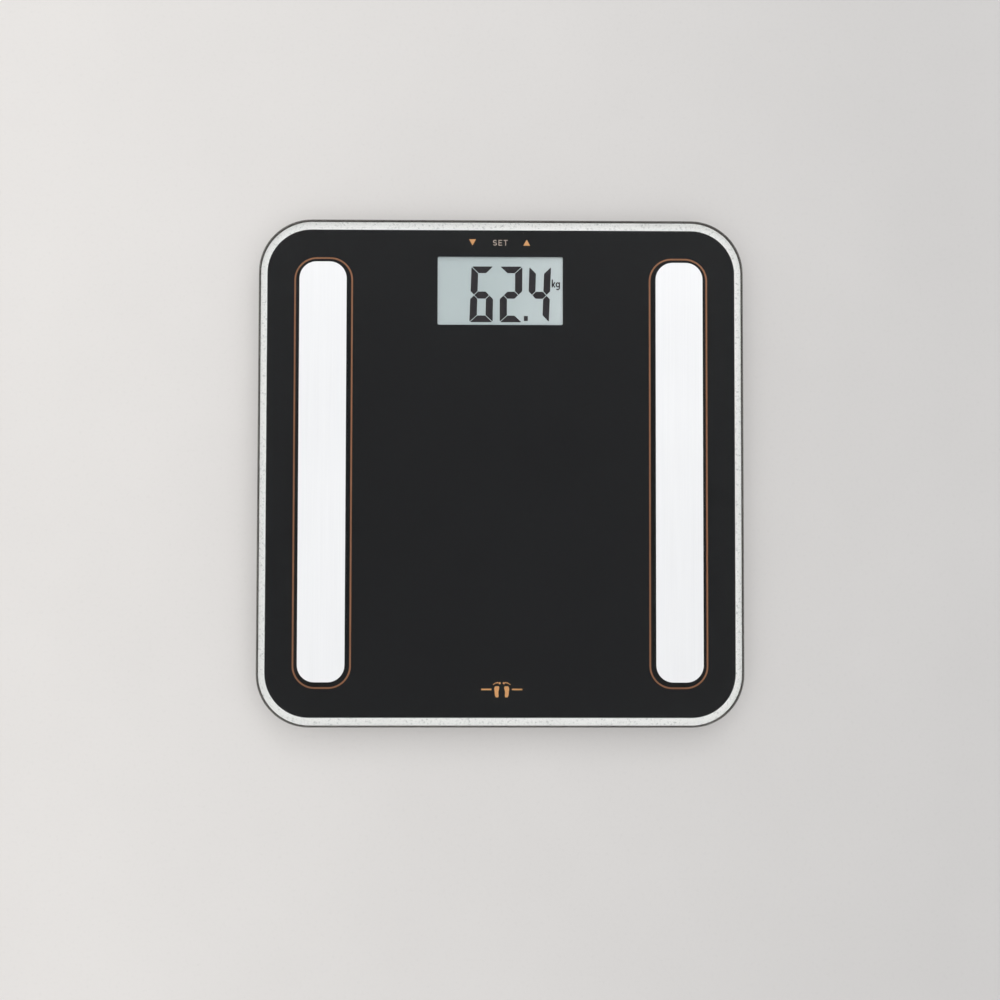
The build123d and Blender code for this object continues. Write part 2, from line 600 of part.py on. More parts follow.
def unit_button():
    """A cap in its hole in the tray, kept in by a flange above the tray floor."""
    flange_z = FLOOR_TOP + 0.1
    cap = disc(BUTTON_R, BUTTON_Z, flange_z - BUTTON_Z, BUTTON_X, BUTTON_Y)
    cap = fillet(cap.edges().group_by(Axis.Z)[0], 0.5)
    flange_t = BOARD_Z - SWITCH_T - 0.8 - flange_z
    return cap + disc(BUTTON_HOLE_R + 1.2, flange_z, flange_t, BUTTON_X, BUTTON_Y)


def electrode_lead(side):
    """From the ring terminal to its pin at the board's front edge."""
    x, pin = side * ELECTRODE_X, side * PIN_ELECTRODE
    z = GLASS_Z - WASHER_T - TERMINAL_T
    lane = [(x, 34.0, z), (side * 52.0, 60.0, z), (pin, 70.0, PIN_Z)]
    return tube([(x, ELECTRODE_Y + TERMINAL_L, z)] + lane + [(pin, HEADER_Y0, PIN_Z)])


def main():
    os.makedirs("parts", exist_ok=True)
    sides = {"left": -1, "right": 1}

    save("glass_platform", glass_platform())
    save("printed_film", printed_film())
    for name, side in sides.items():
        save(f"electrode_{name}", *electrode(side))
    save("electrode_washers", *[electrode_washer(side) for side in sides.values()])
    save("ring_terminals", *[ring_terminal(side) for side in sides.values()])
    save("electrode_nuts", *[electrode_nut(side) for side in sides.values()])
    save("electrode_leads", *[electrode_lead(side) for side in sides.values()])

    save("base_tray", base_tray())
    save("bonding_tape", bonding_tape())
    save("rating_label", rating_label())

    for corner in CORNERS:
        save(f"foot_{corner}", foot(corner))
        save(f"foot_pad_{corner}", foot_pad(corner))
        save(f"load_cell_{corner}", load_cell(corner))
        save(f"gauge_seal_{corner}", gauge_seal(corner))
        save(f"cell_retainer_{corner}", cell_retainer(corner))
        save(f"load_cell_lead_{corner}", load_cell_lead(corner))
    save("retainer_screws", *retainer_screws())

    for index in range(3):
        save(f"battery_cell_{index + 1}", battery_cell(index))
    save("contact_negative", contact_plate(-1, (-1,), tab_row=-1))
    save("contact_positive", contact_plate(1, (1,), tab_row=1))
    save("contact_bridge_right", contact_plate(1, (-1, 0)))
    save("contact_bridge_left", contact_plate(-1, (0, 1)))
    save("contact_springs", contact_spring(-1, -1), contact_spring(1, 0), contact_spring(-1, 1))
    save("battery_leads", battery_lead(-1, -1), battery_lead(1, 1))
    save("battery_door", battery_door())
    save("battery_door_latch", battery_door_latch())

    save("main_board", main_board())
    save("board_screws", *board_screws())
    save("board_components", *board_components())
    save("lcd_panel", lcd_panel())
    save("lcd_reflector", lcd_reflector())
    save("lcd_frame", lcd_frame())
    save("lcd_gasket", lcd_gasket())
    save("zebra_strips", zebra_strip(-1), zebra_strip(1))
    save("touch_key_flex", touch_key_flex())
    save("unit_switch_body", unit_switch_body())
    save("unit_switch_plunger", unit_switch_plunger())
    save("unit_button", unit_button())


main()
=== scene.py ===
"""Looks of the digital bathroom scale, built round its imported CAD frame. Lengths are in metres."""

import json
import math

import bmesh
import bpy
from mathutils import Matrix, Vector


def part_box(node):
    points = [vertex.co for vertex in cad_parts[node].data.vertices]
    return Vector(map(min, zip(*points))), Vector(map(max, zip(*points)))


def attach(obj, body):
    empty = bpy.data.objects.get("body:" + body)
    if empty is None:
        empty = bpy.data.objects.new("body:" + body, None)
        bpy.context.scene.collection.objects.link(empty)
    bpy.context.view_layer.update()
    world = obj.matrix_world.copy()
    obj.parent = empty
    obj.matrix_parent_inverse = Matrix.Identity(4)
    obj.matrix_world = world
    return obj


MM = 0.001

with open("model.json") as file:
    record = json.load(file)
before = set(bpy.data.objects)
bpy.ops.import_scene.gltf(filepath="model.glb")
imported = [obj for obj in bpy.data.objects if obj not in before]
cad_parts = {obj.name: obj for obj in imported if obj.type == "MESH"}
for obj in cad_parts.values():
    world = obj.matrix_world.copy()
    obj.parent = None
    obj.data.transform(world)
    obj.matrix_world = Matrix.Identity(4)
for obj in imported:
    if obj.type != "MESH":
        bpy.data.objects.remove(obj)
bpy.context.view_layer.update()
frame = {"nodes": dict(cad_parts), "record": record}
nodes = frame["nodes"]


# ---------------------------------------------------------------- places read from the frame

GLASS_LOW, GLASS_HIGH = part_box("glass_platform")
FILM_LOW, FILM_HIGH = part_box("printed_film")
LCD_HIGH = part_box("lcd_panel")[1]
DOOR_LOW, DOOR_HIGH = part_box("battery_door")
LABEL_LOW, LABEL_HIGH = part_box("rating_label")

# Print lies in the thin gap between the black film and the glass
PRINT_Z = FILM_HIGH.z + 0.02 * MM
PRINT_T = 0.04 * MM

# Corner radii of the glass and of the black film
GLASS_CORNER = 34.0 * MM
FILM_CORNER = 28.5 * MM


# ---------------------------------------------------------------- tones, light and camera

# The display's tone left of its middle and towards its right edge, and the painted shadow that the window's
# edge casts along its top
LCD_TONE_A = (0.505, 0.578, 0.592, 1.0)
LCD_TONE_B = (0.60, 0.665, 0.68, 1.0)
LCD_PAINTED_SHADOW = (0.84, 0.85, 0.85, 1.0)

# The floor's tone to the left and to the right, their difference painted light that makes the left paler, and
# how strongly it glows
FLOOR_TONE_LEFT_PAINTED_LIGHT = (0.51, 0.495, 0.482, 1.0)
FLOOR_TONE_RIGHT_PAINTED_SHADE = (0.40, 0.392, 0.387, 1.0)
FLOOR_GLOW = 0.475
FLOOR_HALF = 40.0
FLOOR_DROP = 0.02 * MM

# Height on the dome (0 horizon, 1 overhead) and its brightness there
DOME = (
    (0.0, 0.70), (0.12, 0.66), (0.30, 0.44), (0.56, 0.43), (0.74, 0.98),
    (0.86, 2.22), (0.935, 2.22), (0.958, 0.13), (1.0, 0.082),
)

KEY_PLACE = (0.25, 1.6, 1.45)
KEY_SIZE = (1.6, 0.7)
KEY_WATTS = 8.0

# Lens and sensor are in Blender's own millimetres, tilts in degrees
CAMERA_LENS = 48.24
CAMERA_SENSOR = 36.0
CAMERA_PLACE = (-10.657 * MM, -47.401 * MM, 885.7 * MM)
CAMERA_TILTS = (1.966, -0.674, 0.110)


# ---------------------------------------------------------------- material helpers

VECTOR_MATH = "ShaderNodeVectorMath"

# A colour Mix node's sockets go by number, because its other data types use the same names
MIX_FACTOR, MIX_A, MIX_B = 0, 6, 7
MIX_COLOR = 2


def srgb(r, g, b):
    """Linear colour from 0-255 display values."""
    def linear(v):
        v /= 255
        return v / 12.92 if v <= 0.04045 else ((v + 0.055) / 1.055) ** 2.4
    return (linear(r), linear(g), linear(b), 1.0)


def shade(color, factor):
    """A colour made darker or lighter."""
    return (color[0] * factor, color[1] * factor, color[2] * factor, 1.0)


class Graph:
    """A material and a short way to add and join its nodes."""

    def __init__(self, name):
        self.material = bpy.data.materials.new(name)
        self.material.use_nodes = True
        self.tree = self.material.node_tree
        self.tree.nodes.clear()
        self.output = self.tree.nodes.new("ShaderNodeOutputMaterial")
        self.shader = self.add("ShaderNodeBsdfPrincipled")
        self.join(self.shader, "BSDF", self.output, "Surface")
        self.coords = self.add("ShaderNodeTexCoord")

    def add(self, kind, **sockets):
        """A node with some sockets set; an underscore in a name stands for a space."""
        node = self.tree.nodes.new(kind)
        for key, value in sockets.items():
            node.inputs[key.replace("_", " ")].default_value = value
        return node

    def join(self, a, a_socket, b, b_socket):
        """Links two sockets, each given by its name or number."""
        self.tree.links.new(a.outputs[a_socket], b.inputs[b_socket])

    def base(self, **sockets):
        """Sets constants on the shader."""
        for key, value in sockets.items():
            self.shader.inputs[key.replace("_", " ")].default_value = value

    def axes(self):
        """The place in object space as separate X, Y and Z."""
        split = self.add("ShaderNodeSeparateXYZ")
        self.join(self.coords, "Object", split, "Vector")
        return split

    def noise(self, scale, detail=3.0, stretch=(1, 1, 1), roughness=0.5):
        """Noise in object space; stretch squeezes it along each axis."""
        mapping = self.add("ShaderNodeMapping", Scale=stretch)
        self.join(self.coords, "Object", mapping, "Vector")
        node = self.add("ShaderNodeTexNoise", Scale=scale, Detail=detail, Roughness=roughness)
        self.join(mapping, "Vector", node, "Vector")
        return node

    def calc(self, operation, source, socket, second=None, kind="ShaderNodeMath"):
        """A maths node on one input; second is a constant for its other input."""
        node = self.add(kind)
        node.operation = operation
        self.join(source, socket, node, 0)
        if second is not None:
            node.inputs[1].default_value = second
        return node

    def spread(self, source, socket, low, high, start=0.3, end=0.7):
        """Maps a value's start..end onto low..high."""
        node = self.add("ShaderNodeMapRange", From_Min=start, From_Max=end, To_Min=low, To_Max=high)
        self.join(source, socket, node, "Value")
        return node

    def tint(self, factor, socket, color_a, color_b):
        """A colour between two, by a 0-1 value."""
        node = self.add("ShaderNodeMix")
        node.data_type = "RGBA"
        node.inputs[MIX_A].default_value = color_a
        node.inputs[MIX_B].default_value = color_b
        self.join(factor, socket, node, MIX_FACTOR)
        return node

    def darken(self, mix, factor, socket, color):
        """A mix multiplied by a colour, where a 0-1 value says so."""
        node = self.tint(factor, socket, color, color)
        node.blend_type = "MULTIPLY"
        self.join(mix, MIX_COLOR, node, MIX_A)
        return node

    def color_from(self, mix):
        self.join(mix, MIX_COLOR, self.shader, "Base Color")

    def color_by(self, noise, color_a, color_b):
        """Base colour that drifts between two with a noise."""
        self.color_from(self.tint(self.spread(noise, "Fac", 0.0, 1.0), "Result", color_a, color_b))

    def roughness_by(self, noise, low, high):
        """Roughness that drifts between two values with a noise."""
        self.join(self.spread(noise, "Fac", low, high), "Result", self.shader, "Roughness")

    def bump(self, source, socket, distance, after=None):
        """Relief of a given height, on top of an earlier one if there is one."""
        node = self.add("ShaderNodeBump", Strength=1.0, Distance=distance)
        self.join(source, socket, node, "Height")
        if after is not None:
            self.join(after, "Normal", node, "Normal")
        self.join(node, "Normal", self.shader, "Normal")
        return node


def moulded(name, color, rough=0.55, grain=1500.0, depth=0.03 * MM):
    """Spark-textured moulded plastic: fine grain, uneven gloss and a slow change of shade."""
    g = Graph(name)
    fine = g.noise(grain, detail=2.0)
    g.color_by(g.noise(22.0, detail=4.0), shade(color, 0.85), color)
    g.roughness_by(fine, rough - 0.08, rough + 0.1)
    g.bump(fine, "Fac", depth)
    return g.material


def rubber(name, color, rough=0.75):
    """Matt rubber with a faint bloom."""
    g = Graph(name)
    bloom = g.noise(90.0, detail=5.0)
    g.color_by(bloom, color, shade(color, 1.5))
    g.roughness_by(bloom, rough - 0.06, rough + 0.08)
    g.bump(g.noise(2600.0, detail=1.0), "Fac", 0.02 * MM)
    return g.material


def bright_metal(name, color, rough=0.28):
    """Plated or stamped metal with faint rolling marks."""
    g = Graph(name)
    marks = g.noise(600.0)
    g.base(Metallic=1.0)
    g.color_by(marks, shade(color, 0.86), color)
    g.roughness_by(marks, rough - 0.06, rough + 0.1)
    g.bump(marks, "Fac", 0.01 * MM)
    return g.material


def ink(name, color, metallic):
    """Printed metallic ink: tiny flakes that vary its tone."""
    g = Graph(name)
    g.base(Metallic=metallic)
    g.color_by(g.noise(3800.0, detail=2.0), shade(color, 0.82), shade(color, 1.08))
    g.roughness_by(g.noise(35.0), 0.42, 0.58)
    return g.material


# ---------------------------------------------------------------- materials


def tread_rubber():
    """Matt rubber with fine concentric grooves round each foot's centre, painted darker in the grooves and
    paler on the ridges as painted shade.
    """
    g = Graph("foot_rubber")
    low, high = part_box("foot_pad_rear_right")
    centre = ((low.x + high.x) / 2, (low.y + high.y) / 2, 0)
    groove_pitch, groove_depth = 1.7 * MM, 0.25 * MM
    dark = srgb(27, 27, 28)
    # The four feet mirror each other, so absolute places fold them onto one
    folded = g.calc("ABSOLUTE", g.coords, "Object", kind=VECTOR_MATH)
    offset = g.calc("SUBTRACT", folded, "Vector", centre, kind=VECTOR_MATH)
    flat = g.calc("MULTIPLY", offset, "Vector", (1, 1, 0), kind=VECTOR_MATH)
    radius = g.calc("LENGTH", flat, "Vector", kind=VECTOR_MATH)
    turns = g.calc("MULTIPLY", radius, "Value", 2 * math.pi / groove_pitch)
    rings = g.spread(g.calc("SINE", turns, "Value"), "Value", 0.0, 1.0, start=0.2, end=0.7)
    # Painted shade: the colour follows the grooves' depth, near-black in them and paler on the ridges
    g.color_from(g.tint(rings, "Result", dark, shade(dark, 1.9)))
    g.base(Roughness=0.78)
    grooves = g.bump(rings, "Result", groove_depth)
    g.bump(g.noise(2600.0, detail=1.0), "Fac", 0.02 * MM, after=grooves)
    return g.material


def clear_glass():
    """Toughened glass: clear through its faces, with no shadow; near-black at its finely ground edges,
    painted shade for the dark underside seen through them.
    """
    g = Graph("clear_glass")
    # The edge tint is painted shade: the sides and chamfers, where the normal leans from upright, turn
    # near-black
    edge, clear_tint = (0.017, 0.015, 0.013, 1.0), (0.99, 0.995, 0.99, 1.0)
    g.base(IOR=1.52, Transmission_Weight=1.0)
    split = g.add("ShaderNodeSeparateXYZ")
    g.join(g.add("ShaderNodeNewGeometry"), "Normal", split, "Vector")
    face = g.spread(g.calc("ABSOLUTE", split, "Z"), "Value", 0.0, 1.0, start=0.8, end=0.95)
    g.color_from(g.tint(face, "Result", edge, clear_tint))
    g.join(g.spread(face, "Result", 0.22, 0.0, start=0.0, end=1.0), "Result", g.shader, "Roughness")
    clear = g.add("ShaderNodeBsdfTransparent", Color=clear_tint)
    mix = g.add("ShaderNodeMixShader")
    g.join(g.add("ShaderNodeLightPath"), "Is Shadow Ray", mix, "Fac")
    g.join(g.shader, "BSDF", mix, 1)
    g.join(clear, "BSDF", mix, 2)
    g.join(mix, "Shader", g.output, "Surface")
    return g.material


def black_print():
    """Dense black backing print."""
    g = Graph("black_print")
    cloud = g.noise(14.0, detail=5.0)
    g.color_by(cloud, (0.0062, 0.0067, 0.0078, 1.0), (0.0078, 0.0084, 0.0096, 1.0))
    g.roughness_by(cloud, 0.5, 0.6)
    g.base(Specular_IOR_Level=0.1)
    return g.material


def brushed_steel():
    """Stainless sheet brushed along its length, its gloss a little uneven from wear."""
    g = Graph("brushed_steel")
    steel = (0.825, 0.83, 0.84, 1.0)
    lines = g.noise(900.0, detail=6.0, stretch=(1, 0.012, 1), roughness=0.7)
    wide = g.noise(160.0, stretch=(1, 0.02, 1))
    g.base(Metallic=1.0)
    g.color_by(lines, shade(steel, 0.965), steel)
    g.roughness_by(g.noise(9.0), 0.60, 0.68)
    waves = g.bump(wide, "Fac", 0.006 * MM)
    g.bump(lines, "Fac", 0.01 * MM, after=waves)
    return g.material


def lcd_face():
    """The display's front: blue-grey, paler to the right, a little uneven, and darker along its top with a
    painted shadow of the window's edge.
    """
    g = Graph("lcd_face")
    shadow_from, shadow_to = LCD_HIGH.y - 7.0 * MM, LCD_HIGH.y - 1.0 * MM
    split = g.axes()
    across = g.spread(split, "X", 0.0, 0.85, start=0.0, end=LCD_HIGH.x)
    cloud = g.spread(g.noise(26.0), "Fac", 0.0, 0.15)
    total = g.calc("ADD", across, "Result")
    g.join(cloud, "Result", total, 1)
    face = g.tint(total, "Value", LCD_TONE_A, LCD_TONE_B)
    # Painted shadow: the face darkened along its top, where the window's edge shades it
    top = g.spread(split, "Y", 0.0, 1.0, start=shadow_from, end=shadow_to)
    g.color_from(g.darken(face, top, "Result", LCD_PAINTED_SHADOW))
    g.base(Roughness=0.38)
    g.bump(g.noise(2500.0, detail=1.0), "Fac", 0.004 * MM)
    return g.material


def lcd_ink():
    """The darkened segments: slightly warm near-black."""
    g = Graph("lcd_ink")
    g.color_by(g.noise(420.0, detail=2.0), (0.017, 0.014, 0.017, 1.0), (0.024, 0.020, 0.024, 1.0))
    g.base(Roughness=0.6, Specular_IOR_Level=0.2)
    return g.material


def border_painted_light():
    """Painted light for the clear border: a nearly opaque pale sheet with a few fine specks on the underside
    of the glass, in place of the lit, speckled floor seen through it.
    """
    g = Graph("border_painted_light")
    # Painted light: the sheet covers 97 parts in 100, standing in for the floor lit beneath the clear glass
    cover = 0.97
    grain = g.noise(620.0, roughness=0.6)
    specks = g.spread(grain, "Fac", 0.0, 1.0, start=0.30, end=0.46)
    g.color_from(g.tint(specks, "Result", (0.66, 0.67, 0.665, 1.0), (0.985, 0.985, 0.975, 1.0)))
    g.base(Roughness=0.6)
    mix = g.add("ShaderNodeMixShader", Fac=cover)
    g.join(g.add("ShaderNodeBsdfTransparent"), "BSDF", mix, 1)
    g.join(g.shader, "BSDF", mix, 2)
    g.join(mix, "Shader", g.output, "Surface")
    return g.material


def board_mask():
    """Green solder mask with faint tracks below it."""
    g = Graph("board_green")
    tracks = g.add(
        "ShaderNodeTexBrick",
        Scale=180.0,
        Mortar_Size=0.04,
        Color1=(0.012, 0.11, 0.045, 1.0),
        Color2=(0.016, 0.13, 0.055, 1.0),
        Mortar=(0.03, 0.2, 0.09, 1.0),
    )
    g.join(g.coords, "Object", tracks, "Vector")
    g.join(tracks, "Color", g.shader, "Base Color")
    g.base(Roughness=0.3)
    return g.material


def battery_jacket():
    """Plain foil-jacketed cell: dark body, a copper band and a bare steel end on each side of its middle."""
    g = Graph("battery_jacket")
    band_reach = 25.0 * MM
    stops = ((0.0, srgb(28, 32, 38)), (0.52, srgb(184, 118, 70)), (0.78, srgb(205, 207, 208)))
    from_middle = g.calc("ABSOLUTE", g.axes(), "X")
    ramp = g.add("ShaderNodeValToRGB")
    g.join(g.spread(from_middle, "Value", 0.0, 1.0, start=0.0, end=band_reach), "Result", ramp, "Fac")
    ramp.color_ramp.interpolation = "CONSTANT"
    ramp.color_ramp.elements.new(stops[1][0])
    for element, (position, color) in zip(ramp.color_ramp.elements, stops):
        element.position = position
        element.color = color
    g.join(ramp, "Color", g.shader, "Base Color")
    g.base(Metallic=0.6)
    g.roughness_by(g.noise(300.0), 0.24, 0.34)
    return g.material


def paper_label():
    """Satin silver-grey film, faintly fibrous."""
    g = Graph("label_paper")
    g.color_by(g.noise(1200.0, detail=4.0), srgb(196, 198, 200), srgb(212, 214, 215))
    g.base(Roughness=0.42)
    return g.material


def floor_material():
    """Plain pale floor, paler to the left by painted light, barely mottled, with a little glow that keeps its
    shadows soft.
    """
    g = Graph("floor_pale")
    # Painted light: the floor's tone runs from lighter on the left to darker on the right
    across = g.spread(g.axes(), "X", 0.0, 1.0, start=-0.3, end=0.3)
    tone = g.tint(across, "Result", FLOOR_TONE_LEFT_PAINTED_LIGHT, FLOOR_TONE_RIGHT_PAINTED_SHADE)
    mottle = g.spread(g.noise(5.0, detail=7.0, roughness=0.62), "Fac", 0.975, 1.015)
    speck = g.spread(g.noise(420.0, detail=2.0), "Fac", 1.0, 0.97, start=0.55, end=0.8)
    grain = g.calc("MULTIPLY", mottle, "Result")
    g.join(speck, "Result", grain, 1)
    final = g.calc("SCALE", tone, MIX_COLOR, kind=VECTOR_MATH)
    g.join(grain, "Value", final, "Scale")
    g.join(final, "Vector", g.shader, "Base Color")
    g.join(final, "Vector", g.shader, "Emission Color")
    g.base(Roughness=0.85, Emission_Strength=FLOOR_GLOW)
    return g.material


def make_materials():
    """One finished material for each slot of the record, and those of the pieces added here."""
    return {
        "clear_glass": clear_glass(),
        "black_print": black_print(),
        "brushed_steel": brushed_steel(),
        "zinc_steel": bright_metal("zinc_steel", (0.72, 0.73, 0.74, 1.0), rough=0.3),
        "fibre": moulded("fibre", srgb(128, 52, 40), rough=0.7),
        "tinned_brass": bright_metal("tinned_brass", (0.74, 0.72, 0.66, 1.0), rough=0.35),
        "white_lead": rubber("white_lead", srgb(214, 214, 210), rough=0.5),
        "tray_plastic": moulded("tray_plastic", srgb(44, 45, 47), rough=0.52),
        "foam_tape": rubber("foam_tape", srgb(34, 34, 35), rough=0.9),
        "label_paper": paper_label(),
        "foot_plastic": moulded("foot_plastic", srgb(58, 59, 62), rough=0.48, grain=1100.0),
        "foot_rubber": tread_rubber(),
        "cell_steel": bright_metal("cell_steel", (0.6, 0.6, 0.59, 1.0), rough=0.36),
        "silicone": rubber("silicone", srgb(226, 225, 220), rough=0.6),
        "retainer_plastic": moulded("retainer_plastic", srgb(216, 215, 209), rough=0.5),
        "red_lead": rubber("red_lead", srgb(178, 30, 28), rough=0.45),
        "battery_jacket": battery_jacket(),
        "contact_metal": bright_metal("contact_metal", (0.8, 0.79, 0.76, 1.0), rough=0.24),
        "black_lead": rubber("black_lead", srgb(28, 28, 29), rough=0.45),
        "door_plastic": moulded("door_plastic", srgb(47, 48, 50), rough=0.5),
        "board_green": board_mask(),
        "chip_black": moulded("chip_black", srgb(30, 30, 32), rough=0.6),
        "lcd_glass": lcd_face(),
        "lcd_white": moulded("lcd_white", srgb(232, 235, 235), rough=0.5),
        "zebra_rubber": rubber("zebra_rubber", srgb(120, 120, 124)),
        "flex_amber": moulded("flex_amber", srgb(190, 124, 44), rough=0.3, depth=0.004 * MM),
        "button_plastic": moulded("button_plastic", srgb(150, 152, 154), rough=0.45),
        "copper_line": ink("copper_line", srgb(156, 105, 70), metallic=0.25),
        "copper_mark": ink("copper_mark", srgb(228, 168, 106), metallic=0.1),
        "key_legend": ink("key_legend", srgb(206, 190, 176), metallic=0.1),
        "label_ink": moulded("label_ink", srgb(58, 60, 62), rough=0.5, depth=0.004 * MM),
        "lcd_ink": lcd_ink(),
        "border_painted_light": border_painted_light(),
    }


MATERIALS = make_materials()
SLOT_OF = {row["node"]: row["material_slot"] for row in frame["record"]["subparts"]}


def dress_cad_nodes():
    """Gives each CAD node the material of its slot."""
    for name, obj in nodes.items():
        for slot in obj.material_slots:
            slot.material = MATERIALS[SLOT_OF[name]]


# ---------------------------------------------------------------- outlines and meshes


def oval(cx, cy, rx, ry, start, end, steps=14):
    """Points along an upright oval's arc, angles in degrees."""
    turns = [math.radians(start + (end - start) * i / steps) for i in range(steps + 1)]
    return [(cx + rx * math.cos(a), cy + ry * math.sin(a)) for a in turns]


def arc(cx, cy, radius, start, end, steps):
    """Points along a round arc, angles in degrees."""
    return oval(cx, cy, radius, radius, start, end, steps)


def circle(cx, cy, radius, count=24):
    """A whole circle's outline."""
    return arc(cx, cy, radius, 0, 360 - 360 / count, count - 1)


def rounded_rect(cx, cy, width, depth, radius, steps=16):
    """Anticlockwise outline of a rounded rectangle, with steps chords in each corner."""
    hx, hy = width / 2 - radius, depth / 2 - radius
    points = arc(cx + hx, cy + hy, radius, 0, 90, steps)
    points += arc(cx - hx, cy + hy, radius, 90, 180, steps)
    points += arc(cx - hx, cy - hy, radius, 180, 270, steps)
    points += arc(cx + hx, cy - hy, radius, 270, 360, steps)
    return points


def plate_mesh(bm, outline, z, thick):
    """A flat closed plate from one outline."""
    low = [bm.verts.new((x, y, z)) for x, y in outline]
    high = [bm.verts.new((x, y, z + thick)) for x, y in outline]
    bm.faces.new(list(reversed(low)))
    bm.faces.new(high)
    count = len(outline)
    for i in range(count):
        j = (i + 1) % count
        bm.faces.new((low[i], low[j], high[j], high[i]))


def ring_mesh(bm, outer, inner, z, thick):
    """A flat closed ring between two outlines with the same number of points."""
    count = len(outer)
    rows = []
    for outline, height in ((outer, z), (outer, z + thick), (inner, z + thick), (inner, z)):
        rows.append([bm.verts.new((x, y, height)) for x, y in outline])
    for i in range(count):
        j = (i + 1) % count
        for k in range(4):
            a, b = rows[k], rows[(k + 1) % 4]
            bm.faces.new((a[i], a[j], b[j], b[i]))


def frame_mesh(bm, cx, cy, width, height, corner, line, z, thick, steps):
    """A closed rounded frame of even line, measured over its outer edge."""
    outer = rounded_rect(cx, cy, width, height, corner, steps)
    inner = rounded_rect(cx, cy, width - 2 * line, height - 2 * line, corner - line, steps)
    ring_mesh(bm, outer, inner, z, thick)


def ribbon(bm, points, width, z, thick):
    """A flat closed stroke of even width along points, with square ends."""
    rows = []
    for i, (x, y) in enumerate(points):
        before = Vector(points[max(i - 1, 0)])
        after = Vector(points[min(i + 1, len(points) - 1)])
        along = (after - before).normalized()
        dx, dy = -along.y * width / 2, along.x * width / 2
        left, right = (x + dx, y + dy), (x - dx, y - dy)
        corners = ((*left, z), (*right, z), (*right, z + thick), (*left, z + thick))
        rows.append([bm.verts.new(corner) for corner in corners])
    for a, b in zip(rows, rows[1:]):
        for k in range(4):
            bm.faces.new((a[k], a[(k + 1) % 4], b[(k + 1) % 4], b[k]))
    bm.faces.new(rows[0])
    bm.faces.new(list(reversed(rows[-1])))


def piece(name, body, material, build):
    """A mesh piece made by build(bm), riding on a CAD body."""
    bm = bmesh.new()
    build(bm)
    bmesh.ops.recalc_face_normals(bm, faces=bm.faces)
    mesh = bpy.data.meshes.new(name)
    bm.to_mesh(mesh)
    bm.free()
    mesh.materials.append(MATERIALS[material])
    obj = bpy.data.objects.new(name, mesh)
    bpy.context.scene.collection.objects.link(obj)
    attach(obj, body)
    return obj


# ---------------------------------------------------------------- print under the glass


def electrode_outlines():
    """The copper line printed round each electrode."""
    stroke = 1.05 * MM
    width, depth, radius = 36.9 * MM, 277.75 * MM, 14.2 * MM
    shift_x, centre_y = -0.1 * MM, 0.2 * MM
    for side in ("left", "right"):
        low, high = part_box(f"electrode_{side}")
        cx = (low.x + high.x) / 2 + shift_x

        def build(bm):
            outer = rounded_rect(cx, centre_y, width + stroke, depth + stroke, radius + stroke / 2)
            inner = rounded_rect(cx, centre_y, width - stroke, depth - stroke, radius - stroke / 2)
            ring_mesh(bm, outer, inner, PRINT_Z, PRINT_T)

        piece(f"copper_outline_{side}", "platform", "copper_line", build)


def border_ring():
    """The pale sheet of painted light under the clear border, from the black print out to just inside the
    ground edge of the glass.
    """
    film = FILM_HIGH - FILM_LOW
    glass = GLASS_HIGH - GLASS_LOW
    edge, gap, steps = 0.9 * MM, 0.05 * MM, 24

    def build(bm):
        outer = rounded_rect(0, 0, glass.x - 2 * edge, glass.y - 2 * edge, GLASS_CORNER - edge, steps)
        inner = rounded_rect(0, 0, film.x + 2 * gap, film.y + 2 * gap, FILM_CORNER + gap, steps)
        ring_mesh(bm, outer, inner, PRINT_Z, PRINT_T)

    piece("border_painted_light", "platform", "border_painted_light", build)


def arrow_marks():
    """The two arrow heads of the set keys, with slightly blunted corners."""
    half, height, blunt = 2.15 * MM, 3.8 * MM, 0.1 * MM
    # Each head's name, middle, lower edge and the way it points
    marks = (("key_mark_down", -18.7 * MM, 148.0 * MM, -1), ("key_mark_up", 16.5 * MM, 147.75 * MM, 1))
    for name, x, y, way in marks:
        base_y = y if way > 0 else y + height
        tip_y = y + height if way > 0 else y

        def build(bm):
            outline = [
                (x - half, base_y + way * blunt),
                (x - half + blunt, base_y),
                (x + half - blunt, base_y),
                (x + half, base_y + way * blunt),
                (x + blunt, tip_y),
                (x - blunt, tip_y),
            ]
            plate_mesh(bm, outline, PRINT_Z, PRINT_T)

        piece(name, "platform", "copper_mark", build)


def set_legend():
    """The word SET between the two arrow heads, in thin strokes."""
    low, high, stroke = 147.8 * MM, 151.4 * MM, 0.44 * MM
    s_x, e_x, t_x = -4.15 * MM, -1.8 * MM, 2.8 * MM
    s_half, e_width, t_half = 1.0 * MM, 2.35 * MM, 1.3 * MM
    half = stroke / 2
    middle = (low + high) / 2
    bowl = (high - low - stroke) / 4
    upper = oval(s_x, middle + bowl, s_half, bowl, 25, 270)
    lower = oval(s_x, middle - bowl, s_half, bowl, 90, -155)
    strokes = [upper + lower[1:], [(e_x + half, low), (e_x + half, high)]]
    for y, reach in ((low + half, 1.0), (middle, 0.9), (high - half, 1.0)):
        strokes.append([(e_x + stroke, y), (e_x + e_width * reach, y)])
    strokes.append([(t_x - t_half, high - half), (t_x + t_half, high - half)])
    strokes.append([(t_x, low), (t_x, high - stroke)])

    def build(bm):
        for points in strokes:
            ribbon(bm, points, stroke, PRINT_Z, PRINT_T)

    piece("key_legend_set", "platform", "key_legend", build)


def sole_half_width(t):
    """Half the width of a sole that is 1 long, from the heel at t = 0 to the ball at t = 1."""
    heel, ball, waist, bluntness = 0.175, 0.25, 0.055, 3.2
    swell = 0.5 - 0.5 * math.cos(math.pi * t)
    arch = waist * math.sin(math.pi * t) ** 2
    end = math.sqrt(max(0.0, 1 - abs(2 * t - 1) ** bluntness))
    return (heel + (ball - heel) * swell - arch) * end


